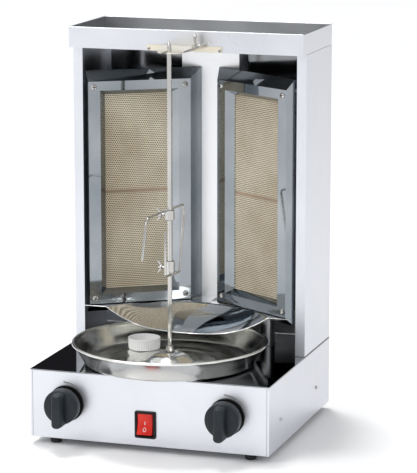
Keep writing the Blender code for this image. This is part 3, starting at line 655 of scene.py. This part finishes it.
def chute():
    """The dished drip plate: rolled front edge, short flat side tabs, and a tongue between the burners."""
    cols, rows, thick, tongue = 104, 40, 0.0008, 0.0110
    front_y, top = chute_low.y, chute_high.z
    xs = [-CHUTE_HALF + 2 * CHUTE_HALF * i / cols for i in range(cols + 1)]
    verts, faces = [], []
    for level in (0.0, thick):
        for x in xs:
            for j in range(rows + 1):
                y = front_y + (chute_back(x) - front_y) * j / rows
                verts.append((x, y, chute_height(x, y) - level))
    size = (cols + 1) * (rows + 1)
    for i in range(cols):
        for j in range(rows):
            a = i * (rows + 1) + j
            quad = (a, a + rows + 1, a + rows + 2, a + 1)
            faces += [quad, tuple(size + k for k in reversed(quad))]
    rim = [i * (rows + 1) for i in range(cols + 1)] + [cols * (rows + 1) + j for j in range(1, rows + 1)]
    rim += [i * (rows + 1) + rows for i in range(cols - 1, -1, -1)] + list(range(rows - 1, 0, -1))
    for k, a in enumerate(rim):
        b = rim[(k + 1) % len(rim)]
        faces.append((b, a, size + a, size + b))
    shapes = [(verts, faces)]
    shapes.append(block((-tongue, chute_back(0.0), top - thick), (tongue, chute_high.y, top)))
    for x0, x1 in ((-CHUTE_TAB_END, -CHUTE_HALF), (CHUTE_HALF, CHUTE_TAB_END)):
        shapes.append(block((x0, front_y, top - thick), (x1, chute_back(CHUTE_HALF), top)))
    edge = [Vector((x, front_y + 0.0006, chute_height(x, front_y) - 0.0004)) for x in xs]
    shapes.append(tube(edge, 0.0007, 10))
    piece("drip_chute_fine", *join(*shapes), LOOKS["mirror_steel"], "casing", "mirror_steel",
          ("drip_chute",), None, 40)


def cap():
    """The white cap: a shallow cup with upright ribs on its outer side."""
    low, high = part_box("drive_cap")
    r, h = (high.x - low.x) / 2, high.z - low.z
    rib, count = 0.00045, 44

    def ribs(at_r, z, a):
        if at_r < r - 0.0012 or z > h - 0.0016 or z < 0.0008:
            return at_r
        return at_r - rib + rib * math.cos(count * a)

    profile = [(0, 0.0016), (r - 0.0030, 0.0016), (r - 0.0022, 0.0024), (r - 0.0017, h - 0.0004)]
    profile += [(r - 0.0013, h), (r - 0.0004, h), (r, h - 0.0004), (r, h - 0.0014), (r, h - 0.0018)]
    profile += [(r - 0.0003, 0.0060), (r - 0.0006, 0.0014), (r - 0.0010, 0.0004), (r - 0.0020, 0.0), (0, 0.0)]
    place = Matrix.Translation(((low.x + high.x) / 2, (low.y + high.y) / 2, low.z))
    piece("drive_cap_fine", *lathe(profile, 352, wave=ribs), LOOKS["white_plastic"], "drive_cap",
          "white_plastic", ("drive_cap",), place, 40)


def hub():
    """The drive's socket in the middle of the pan, with a groove and six slight flats."""
    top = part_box("drive_hub")[1].z

    def flats(r, z, a):
        if z < 0.1136 or r < 0.0045:
            return r
        return r * (1 - 0.035 * (1 - abs(math.cos(3 * a))))

    profile = [(0, 0.1105), (0.0033, 0.1105), (0.0033, top - 0.0004), (0.0037, top), (0.0046, top)]
    profile += [(0.0050, top - 0.0005), (0.0050, 0.1140), (0.0042, 0.1134), (0.0042, 0.1126)]
    profile += [(0.0050, 0.1120), (0.0050, 0.1070), (0.0180, 0.1055), (0.0180, 0.1001), (0.0065, 0.1001)]
    profile += [(0.0065, 0.0935), (0.0039, 0.0935), (0.0039, 0.1000), (0, 0.1000)]
    piece("drive_hub_fine", *lathe(profile, 72, wave=flats), LOOKS["bright_steel"], "spit_drive",
          "bright_steel", ("drive_hub",), ON_SPIT, 35)


def skewer():
    """The straight rod, with a rounded point."""
    low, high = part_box("skewer_rod")
    r = (high.x - low.x) / 2
    point, blunt, steps = 0.0115, 0.12, 8
    profile = [(0, high.z)]
    for k in range(steps + 1):
        swell = blunt + (1 - blunt) * math.sin(k / steps * math.pi / 2)
        profile.append((r * swell, high.z - 0.0004 - point * k / steps))
    profile += [(r, 0.40), (r, 0.20), (r, low.z + 0.0006), (r - 0.0005, low.z), (0, low.z)]
    piece("skewer_rod_fine", *lathe(profile, 48), LOOKS["bright_steel"], "skewer", "bright_steel",
          ("skewer_rod",), ON_SPIT, 40)


pan()
chute()
recoat("rear_reflector", SATIN_AND_PAINTED_WING_STEEL)
cap()
hub()
skewer()


# ---------------------------------------------------------------- forks
def collar(half):
    """A fork's collar, with chamfered ends."""
    profile = [(0.0034, half - 0.0005), (0.0039, half), (0.0058, half), (0.0064, half - 0.0006)]
    profile += [(r, -z) for r, z in reversed(profile)]
    return lathe(profile, 48, loop=True)


def wing_screw():
    """A wing screw along local Z: its shank, and two wings drawn out from it."""
    shank = lathe([(0, -0.0052), (0.0014, -0.0052), (0.0018, -0.0046), (0.0018, 0.0012), (0.0034, 0.0014),
                   (0.0036, 0.0020), (0.0030, 0.0058), (0.0024, 0.0064), (0, 0.0066)], 28)
    sections = ((0.0016, 0.0036, 0.0016, 0.0011), (0.0044, 0.0048, 0.0020, 0.0010),
                (0.0068, 0.0066, 0.0022, 0.0009), (0.0080, 0.0080, 0.0014, 0.0007))
    angles = [2 * math.pi * i / 12 for i in range(12)]
    wings = []
    for sign in (-1, 1):
        rings = []
        for x, z, half_wide, half_thick in sections:
            rings.append([(sign * x, half_thick * math.cos(a), z + half_wide * math.sin(a)) for a in angles])
        wings.append(loft(rings))
    return join(shank, *wings)


def fork(name, hub_z, half, bar, turn, back, front, radii):
    """A bent wire fork on its collar, and the wing screw that holds it.

    back and front hold each prong's reach, how far its end is splayed, and its end's height."""
    side = math.copysign(0.0052, -bar)
    place = Matrix.Translation((spit.x, spit.y, hub_z)) @ Matrix.Rotation(math.radians(turn), 4, "Z")
    corners = [(side, back[0] + back[1], back[2] - hub_z), (side, back[0], bar)]
    corners += [(side, -front[0], bar), (side, -front[0] - front[1], front[2] - hub_z)]
    rod = tube(bent(corners, radii), 0.00150, 16, 0.0050)
    weld = lathe([(0, 0.0026), (0.0018, 0.0020), (0.0026, 0.0), (0.0018, -0.0020), (0, -0.0026)], 16)
    beads = [moved(weld, Matrix.Translation((side, y, bar))) for y in (-0.0040, 0.0040)]
    piece(f"{name}_fork_fine", *join(rod, collar(half), *beads), LOOKS["bright_steel"], f"{name}_fork",
          "bright_steel", (f"{name}_fork",), place, 40)
    along = place @ Matrix.Translation((-0.0095, 0, 0)) @ Matrix.Rotation(math.radians(-90), 4, "Y")
    piece(f"{name}_fork_wing_screw", *wing_screw(), LOOKS["bright_steel"], f"{name}_thumb_screw",
          "bright_steel", (f"{name}_fork_thumb_screw",), along, 50)


fork("upper", 0.2930, 0.0065, 0.0050, -6.3, (0.0542, -0.0087, 0.2378), (0.0578, 0.0141, 0.2447),
     (0.0040, 0.0120))
fork("lower", 0.2240, 0.0090, -0.0076, -9.9, (0.0163, 0.0140, 0.2926), (0.0217, -0.0010, 0.2774),
     (0.0040, 0.0040))


# ---------------------------------------------------------------- top bracket, latch
tray_low, tray_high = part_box("top_tray")


def bracket():
    """The heat-tinted bracket and its two screws."""
    soften(frame["nodes"]["skewer_bracket"], 0.0003, 2)
    recoat("skewer_bracket", CREAM_STEEL)
    for sign in (-1, 1):
        at = Vector((sign * 0.0480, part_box("skewer_bracket")[1].y - 0.0012, tray_low.z + 0.0028))
        screw(f"bracket_screw_{sign + 1}", at, (0, -1, 0), 0.0023, spin=0.9 + sign)


def latch():
    """The latch's pin with its grooved grip, and the wire that swings on it."""
    low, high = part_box("latch_pin")
    pivot = Vector(((low.x + high.x) / 2, (low.y + high.y) / 2, low.z))
    h = high.z - low.z

    def knurl(r, z, a):
        if r < 0.0026 or z < 0.0045 or z > 0.0139:
            return r
        return r - 0.00022 + 0.00022 * math.cos(20 * a)

    profile = [(0, h), (0.0008, h - 0.0002), (0.0014, h - 0.0014), (0.0017, h - 0.0030), (0.0028, 0.0138)]
    profile += [(0.0028, 0.0110), (0.0028, 0.0070), (0.0028, 0.0046), (0.0024, 0.0040), (0.0019, 0.0030)]
    profile += [(0.0019, 0.0), (0, 0.0)]
    piece("latch_pin_fine", *lathe(profile, 80, wave=knurl), LOOKS["bright_steel"], "casing",
          "bright_steel", ("latch_pin",), Matrix.Translation(pivot), 40)
    ring = lathe([(0.0045, 0.0024), (0.0046, 0.0021), (0.0046, 0.0007), (0.0044, 0.0004), (0.0025, 0.0004),
                  (0.0023, 0.0007), (0.0023, 0.0021), (0.0026, 0.0024)], 40, loop=True)
    route = bent([(0.0153, 0.0040, 0.0064), (0.0042, 0.0005, 0.0014), (0.0070, -0.0680, 0.0014)], [0.0040])
    piece("latch_wire_fine", *join(ring, tube(route, 0.0010, 14, 0.0008)), LOOKS["bright_steel"], "latch",
          "bright_steel", ("latch_wire",), Matrix.Translation((pivot.x, pivot.y, pivot.z - 0.0003)), 40)


recoat("top_tray", tray_steel("tray_steel", tray_low, tray_high))
bracket()
latch()

# ---------------------------------------------------------------- casing details
wrap_low, wrap_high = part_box("base_wrap")
front = wrap_low.y
rear_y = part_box("rear_panel")[1].y


def front_seams():
    """A fine dark line near each front corner of the base, painted shade for the seam of its sheet."""
    for sign in (-1, 1):
        x = sign * (wrap_high.x - 0.0030)
        # Painted shade: the dark line stands in for the shade in the seam's gap.
        seam = block((x - 0.00025, front - 0.00012, wrap_low.z + 0.0010),
                     (x + 0.00025, front + 0.0004, wrap_high.z - 0.0010))
        piece(f"front_seam_{sign + 1}", *seam, INK_AND_SEAM_SHADE, "casing", "dark_steel")


def tray_hem():
    """The rolled edge round the top of the tray."""
    radius, tuck = 0.0008, 0.0006
    mid_y, z = (tray_low.y + tray_high.y) / 2, tray_high.z - radius + 0.0003
    corners = [(tray_low.x, tray_low.y), (tray_high.x, tray_low.y), (tray_high.x, tray_high.y),
               (tray_low.x, tray_high.y)]
    bars = []
    for (x0, y0), (x1, y1) in zip(corners, corners[1:] + corners[:1]):
        if abs(x1 - x0) > abs(y1 - y0):
            inward = Vector((0, math.copysign(tuck, mid_y - y0), 0))
        else:
            inward = Vector((math.copysign(tuck, -x0), 0, 0))
        bars.append(tube([Vector((x0, y0, z)) + inward, Vector((x1, y1, z)) + inward], radius, 12))
    piece("tray_hem", *join(*bars), LOOKS["casing_steel"], "casing", "casing_steel", (), None, 50)


def label(word, *places):
    """A name that ends in places in millimetres, with m for a minus sign."""
    return "_".join([word, *(str(round(p * 1000)) for p in places)]).replace("-", "m")


def rear_screws():
    """Nine screws in the rear panel, and four in the base's back."""
    base_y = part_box("base_back_panel")[1].y
    for x in (-0.145, 0.0, 0.145):
        for z in (0.110, 0.300, 0.485):
            screw(label("rear_screw", x, z), (x, rear_y, z), (0, 1, 0), 0.0030, spin=x * 9 + z)
        if x:
            for z in (0.020, 0.088):
                screw(label("base_back_screw", x, z), (x, base_y, z), (0, 1, 0), 0.0030, spin=z * 50)


def wall_rivets():
    """Five rivets up the inside of each wall."""
    low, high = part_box("right_wall")
    rivet = lathe([(0, 0.0010), (0.0010, 0.0008), (0.0018, 0.0003), (0.0020, -0.0003), (0, -0.0003)], 20)
    for sign in (-1, 1):
        turn = Matrix.Rotation(math.radians(-90 * sign), 4, "Y")
        for k in range(5):
            at = (sign * (high.x - 0.0011), low.y + 0.0330, low.z + 0.045 + k * 0.078)
            piece(f"wall_rivet_{sign + 1}_{k}", *rivet, LOOKS["bright_steel"], "casing", "bright_steel", (),
                  Matrix.Translation(at) @ turn, 50)


def side_screws():
    """Two screws in each side of the base."""
    for sign in (-1, 1):
        for y in (-0.085, 0.085):
            screw(label(f"side_screw_{sign + 1}", y), (sign * wrap_high.x, y, 0.045), (sign, 0, 0), 0.0026)


def foot(name):
    """A rubber foot with a groove round it."""
    low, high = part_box(name)
    r, h = (high.x - low.x) / 2, high.z - low.z
    profile = [(0, h), (r - 0.0003, h), (r, h - 0.0004), (r - 0.0002, h - 0.0030), (r - 0.0008, h - 0.0034)]
    profile += [(r - 0.0008, h - 0.0042), (r - 0.0003, h - 0.0046), (r - 0.0008, 0.0012)]
    profile += [(r - 0.0014, 0.0003), (r - 0.0022, 0.0), (0, 0.0)]
    piece(name + "_fine", *lathe(profile, 40), LOOKS["foot_rubber"], "casing", "foot_rubber", (name,),
          Matrix.Translation(((low.x + high.x) / 2, (low.y + high.y) / 2, low.z)), 40)


for node, width in (("base_wrap", 0.0006), ("base_top_plate", 0.0004), ("left_wall", 0.0006),
                    ("right_wall", 0.0006), ("rear_panel", 0.0003), ("top_tray", 0.0004),
                    ("rear_reflector", 0.0003), ("base_back_panel", 0.0003), ("base_bottom_plate", 0.0003)):
    soften(frame["nodes"][node], width)
recoat("base_top_plate", TOP_PAINTED_DARK_STEEL)
front_seams()
tray_hem()
rear_screws()
wall_rivets()
side_screws()
for corner in ("front_left", "front_right", "rear_left", "rear_right"):
    foot("foot_" + corner)


# ---------------------------------------------------------------- knobs
def ridge_ring(half, bottom, top, w):
    """The grip ridge's outline at one depth: round at the bottom lobe, squarer at the top."""
    points = []
    for k in range(9):
        a = math.pi + math.pi * k / 8
        points.append((half * math.cos(a), bottom + half * 0.75 + half * 0.75 * math.sin(a), w))
    for k in range(9):
        a = math.pi * k / 8
        points.append((half * math.cos(a) * 0.92, top - half * 0.35 + half * 0.35 * math.sin(a), w))
    return points


def knob_grip(name, at, place):
    """The knob: a skirted cap, open behind, with a raised ridge across it."""
    low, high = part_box(f"{name}_knob")
    r, fin, face = (high.x - low.x) / 2, at.z - low.z, at.y - low.y
    body = [(0, 0.0254), (r - 0.0110, 0.0252), (r - 0.0035, 0.0247), (r - 0.0018, 0.0242)]
    body += [(r - 0.0006, 0.0232), (r, 0.0216), (r, 0.0150), (r, 0.0098), (r - 0.0004, 0.0092)]
    body += [(r - 0.0018, 0.0092), (r - 0.0022, 0.0098), (r - 0.0026, 0.0128), (0.0060, 0.0128)]
    body += [(0.0058, 0.0098), (0.0034, 0.0098), (0.0034, 0.0200), (0, 0.0200)]
    ridge = ((0.0084, 0.0010, 0.0022, 0.0140), (0.0080, 0.0003, 0.0023, 0.0250),
             (0.0066, 0.0001, 0.0036, face - 0.0030), (0.0061, 0.0005, 0.0041, face - 0.0016),
             (0.0053, 0.0013, 0.0050, face - 0.0005), (0.0042, 0.0026, 0.0064, face - 0.0001))
    rings = [ridge_ring(half, bottom - fin, r - top, w) for half, bottom, top, w in ridge]
    piece(f"{name}_knob_fine", *join(lathe(body, 96), loft(rings)), LOOKS["knob_plastic"], f"{name}_knob",
          "knob_plastic", (f"{name}_knob",), place, 40)


def knob_mark(name, at, disc_r):
    """A dot and a band of seven ticks that widens, printed on the front above a knob."""
    ink = 0.00012
    ticks = []
    for k in range(7):
        a, b = math.radians(60 + 5 * k), math.radians(60 + 5 * k + 4.9)
        inner, outer = disc_r + 0.0028, disc_r + 0.0036 + 0.0002 * k
        corners = ((inner, a), (outer, a), (outer, b), (inner, b))
        quad = [(r * math.cos(t), r * math.sin(t)) for r, t in corners]
        ticks.append(loft([[(x, z, w) for x, z in quad] for w in (0.0, ink)]))
    dot = moved(lathe([(0, ink), (0.0009, ink), (0.0010, 0.0), (0, 0.0)], 20),
                Matrix.Translation((-0.0030, disc_r + 0.0045, 0)))
    piece(f"{name}_knob_mark", *join(*ticks, dot), INK_AND_SEAM_SHADE, "casing", "black_plastic", (),
          Matrix.Translation((at.x, front - 0.00002, at.z)) @ OUT_FRONT, 30)


def knob(name):
    """A knob, its black disc with two screws, and the mark above it."""
    low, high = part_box(f"{name}_knob_disc")
    at = Vector(((low.x + high.x) / 2, high.y, (low.z + high.z) / 2))
    place = Matrix.Translation(at) @ OUT_FRONT
    knob_grip(name, at, place)
    r = (high.x - low.x) / 2
    disc = [(r, 0.0004), (r - 0.0001, 0.0012), (r - 0.0006, 0.0016), (r - 0.0014, 0.0016)]
    disc += [(r - 0.0018, 0.0011), (0.0100, 0.0010), (0.0098, 0.0015), (0.0087, 0.0015)]
    disc += [(0.0085, 0.0011), (0.0085, 0.0004)]
    piece(f"{name}_knob_disc_fine", *lathe(disc, 96, loop=True), LOOKS["black_plastic"], "casing",
          "black_plastic", (f"{name}_knob_disc",), place, 35)
    for k, (x, z) in enumerate(((0.0152, -0.0065), (-0.0152, 0.0065))):
        screw(f"{name}_disc_screw_{k}", at + Vector((x, -0.0012, z)), (0, -1, 0), 0.0030, spin=0.5 + k)
    knob_mark(name, at, r)


knob("left")
knob("right")

# ---------------------------------------------------------------- switch
bezel_low, bezel_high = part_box("switch_bezel")
switch_at = Vector(((bezel_low.x + bezel_high.x) / 2, front, (bezel_low.z + bezel_high.z) / 2))
ROCKER_HALF_X, ROCKER_HALF_Z = 0.0100, 0.0134
ROCKER_PLACE = (Matrix.Translation(Vector((switch_at.x, front + 0.0030, switch_at.z)))
                @ Matrix.Rotation(math.radians(-9.0), 4, "X"))


def bezel():
    """The switch's frame: a rounded rim in front, and a sleeve through the sheet."""
    half_x, half_z = (bezel_high.x - bezel_low.x) / 2, (bezel_high.z - bezel_low.z) / 2
    proud = front - bezel_low.y
    rings = []
    for hx, hz, r, w in ((half_x, half_z, 0.0022, -0.0001), (half_x, half_z, 0.0022, proud - 0.0012),
                         (half_x - 0.0003, half_z - 0.0003, 0.0020, proud - 0.0004),
                         (half_x - 0.0010, half_z - 0.0010, 0.0015, proud),
                         (0.0112, 0.0150, 0.0008, proud), (0.0108, 0.0146, 0.0006, proud - 0.0005),
                         (0.0104, 0.0142, 0.0005, -0.0085), (0.0108, 0.0146, 0.0006, -0.0090),
                         (0.0112, 0.0150, 0.0008, -0.0090), (0.0112, 0.0150, 0.0008, -0.0001)):
        rings.append([(x, z, w) for x, z in round_rect(hx, hz, r)])
    piece("switch_bezel_fine", *ring_loop(rings), LOOKS["black_plastic"], "casing", "black_plastic",
          ("switch_bezel",), Matrix.Translation(switch_at) @ OUT_FRONT, 30)


def on_face(z):
    """The rocker face's depth at a height."""
    return -0.0076 + 0.0022 * math.cos(z / ROCKER_HALF_Z * math.pi / 2)


def rocker():
    """The red rocker: a hollow face in front and a blunt wedge behind."""
    half_x, half_z, round_off = ROCKER_HALF_X, ROCKER_HALF_Z, 0.0005
    section = [(on_face(t * half_z / 8), t * half_z / 8) for t in range(-8, 9)]
    section += [(0.0010, half_z * 0.98), (0.0060, 0.0060), (0.0060, -0.0060), (0.0010, -half_z * 0.98)]
    rings = []
    for x, inset in ((-half_x, round_off), (-half_x + round_off, 0.0), (half_x - round_off, 0.0),
                     (half_x, round_off)):
        rings.append([(x, y + (inset if y < -0.004 else 0.0), z * (1 - inset / half_z)) for y, z in section])
    piece("switch_rocker_fine", *loft(rings), LOOKS["red_plastic"], "rocker", "red_plastic",
          ("switch_rocker",), ROCKER_PLACE, 50)


def switch_marks():
    """The rocker's raised I and O."""
    o_z, o_half_x, o_half_z, wire = -0.0068, 0.0019, 0.0024, 0.00036
    stroke = block((-0.0004, on_face(0.0015) - 0.0003, -0.0005), (0.0004, on_face(0.0015) + 0.0006, 0.0035))
    rings = []
    for k in range(40):
        a = 2 * math.pi * k / 40
        z = o_z + o_half_z * math.sin(a)
        at = Vector((o_half_x * math.cos(a), on_face(z) - 0.00002, z))
        outward = Vector((at.x, 0, at.z - o_z)).normalized()
        section = []
        for i in range(6):
            b = 2 * math.pi * i / 6
            section.append(at + outward * (wire * math.cos(b)) + Vector((0, 0.0003 * math.sin(b), 0)))
        rings.append(section)
    piece("switch_marks", *join(stroke, ring_loop(rings)), MARK, "rocker", "white_plastic", (),
          ROCKER_PLACE, 30)


bezel()
rocker()
switch_marks()


# ---------------------------------------------------------------- inlet, gland
def on_rear(node):
    """A placement on the rear sheet, level with a node's middle, facing back."""
    at = middle(node)
    return Matrix.Translation((at.x, rear_y, at.z)) @ OUT_BACK


def gas_inlet():
    """The brass hose tail with three barbs, and its nut."""
    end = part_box("gas_inlet")[1].y - rear_y

    def hexagon(r, z, a):
        if r < 0.0075:
            return r
        return min(r, r * 0.90 / math.cos((a % (math.pi / 3)) - math.pi / 6))

    profile = [(0.0028, end), (0.0036, end), (0.0038, end - 0.0004)]
    for barb in (0.0030, 0.0070, 0.0110):
        profile += [(0.0046, end - barb), (0.0038, end - barb - 0.0002)]
    profile += [(0.0038, 0.0062), (0.0042, 0.0060), (0.0080, 0.0060), (0.0085, 0.0055), (0.0085, 0.0010)]
    profile += [(0.0080, 0.0005), (0.0058, 0.0004), (0.0058, -0.0060), (0.0028, -0.0060)]
    piece("gas_inlet_fine", *lathe(profile, 72, loop=True, wave=hexagon), LOOKS["brass"], "casing", "brass",
          ("gas_inlet",), on_rear("gas_inlet"), 30)


def cord_gland():
    """The black gland that a mains lead goes through."""
    profile = [(0.0036, 0.0060), (0.0080, 0.0060), (0.0088, 0.0056), (0.0098, 0.0042), (0.0100, 0.0036)]
    profile += [(0.0100, 0.0008), (0.0097, 0.0004), (0.0066, 0.0004), (0.0064, -0.0060), (0.0036, -0.0060)]
    piece("cord_gland_fine", *lathe(profile, 64, loop=True), LOOKS["black_plastic"], "casing",
          "black_plastic", ("cord_gland",), on_rear("cord_gland"), 35)


gas_inlet()
cord_gland()


# ---------------------------------------------------------------- floor, light, camera
def add(name, data):
    """A new object in the scene."""
    obj = bpy.data.objects.new(name, data)
    bpy.context.scene.collection.objects.link(obj)
    return obj


def aim(obj, direction):
    """Points a lamp or the camera along a direction."""
    obj.rotation_euler = direction.to_track_quat("-Z", "Y").to_euler()


def studio_floor():
    """A plain pale floor."""
    mesh = bpy.data.meshes.new("floor")
    mesh.from_pydata([(-15, -15, 0), (15, -15, 0), (15, 15, 0), (-15, 15, 0)], [], [(0, 1, 2, 3)])
    look, tree, shader = nodes_of("floor_paint")
    paint = tint(tree, noise(tree, 0.8), (0.92, 0.92, 0.92), (0.95, 0.95, 0.95))
    tree.links.new(paint, shader.inputs["Base Color"])
    shader.inputs["Roughness"].default_value = 0.7
    shader.inputs["Specular IOR Level"].default_value = 0.2
    mesh.materials.append(look)
    add("floor", mesh)


def light(name, at, target, size, power):
    """A soft area lamp that points at a place."""
    data = bpy.data.lights.new(name, "AREA")
    data.shape = "RECTANGLE"
    data.size, data.size_y = size
    data.energy = power
    lamp = add(name, data)
    lamp.location = at
    aim(lamp, Vector(target) - Vector(at))


def soft_sky():
    """A broad, weak sun from nearly overhead."""
    data = bpy.data.lights.new("soft_sky", "SUN")
    data.energy = 1.3
    data.angle = math.radians(15)
    aim(add("soft_sky", data), Vector((0.22, -0.24, -1.0)))


def studio_world():
    """White all round, but dark low down behind the object, for its mirrors and not for the camera."""
    world = bpy.data.worlds.new("studio")
    bpy.context.scene.world = world
    world.use_nodes = True
    tree = world.node_tree
    background = tree.nodes["Background"]
    axes = axes_of(tree, "Generated")
    behind = spread(tree, axes["Y"], 0.0, 1.0, 0.20, 0.60)
    lying = spread(tree, axes["Z"], 1.0, 0.0, 0.30, 0.55)
    ray = tree.nodes.new("ShaderNodeLightPath")
    seen = combine(tree, "SUBTRACT", combine(tree, "MULTIPLY", behind, lying), ray.outputs["Is Camera Ray"])
    seen.node.use_clamp = True
    colour = tint(tree, seen, (0.97, 0.975, 0.99), (0.03, 0.03, 0.035), 0.0, 1.0)
    tree.links.new(colour, background.inputs["Color"])
    background.inputs["Strength"].default_value = 0.78


def camera():
    """A long lens, from in front and a little above and to the right."""
    data = bpy.data.cameras.new("camera")
    data.lens = 190.9
    data.sensor_width = 36.0
    data.clip_end = 60.0
    made = add("camera", data)
    made.location = (1.01555, -3.04361, 0.88377)
    aim(made, Vector((0.034304, 0.009, 0.256444)) - made.location)
    bpy.context.scene.camera = made


studio_floor()
light("key", (-1.3, -1.6, 1.9), (0, 0, 0.25), (1.2, 1.2), 22)
light("fill", (1.9, -1.2, 1.2), (0, 0, 0.25), (1.4, 1.4), 1.5)
light("top", (-0.4, 1.1, 2.1), (0, 0, 0.1), (1.4, 1.0), 3)
soft_sky()
studio_world()
camera()
bpy.context.scene.view_settings.view_transform = "Standard"
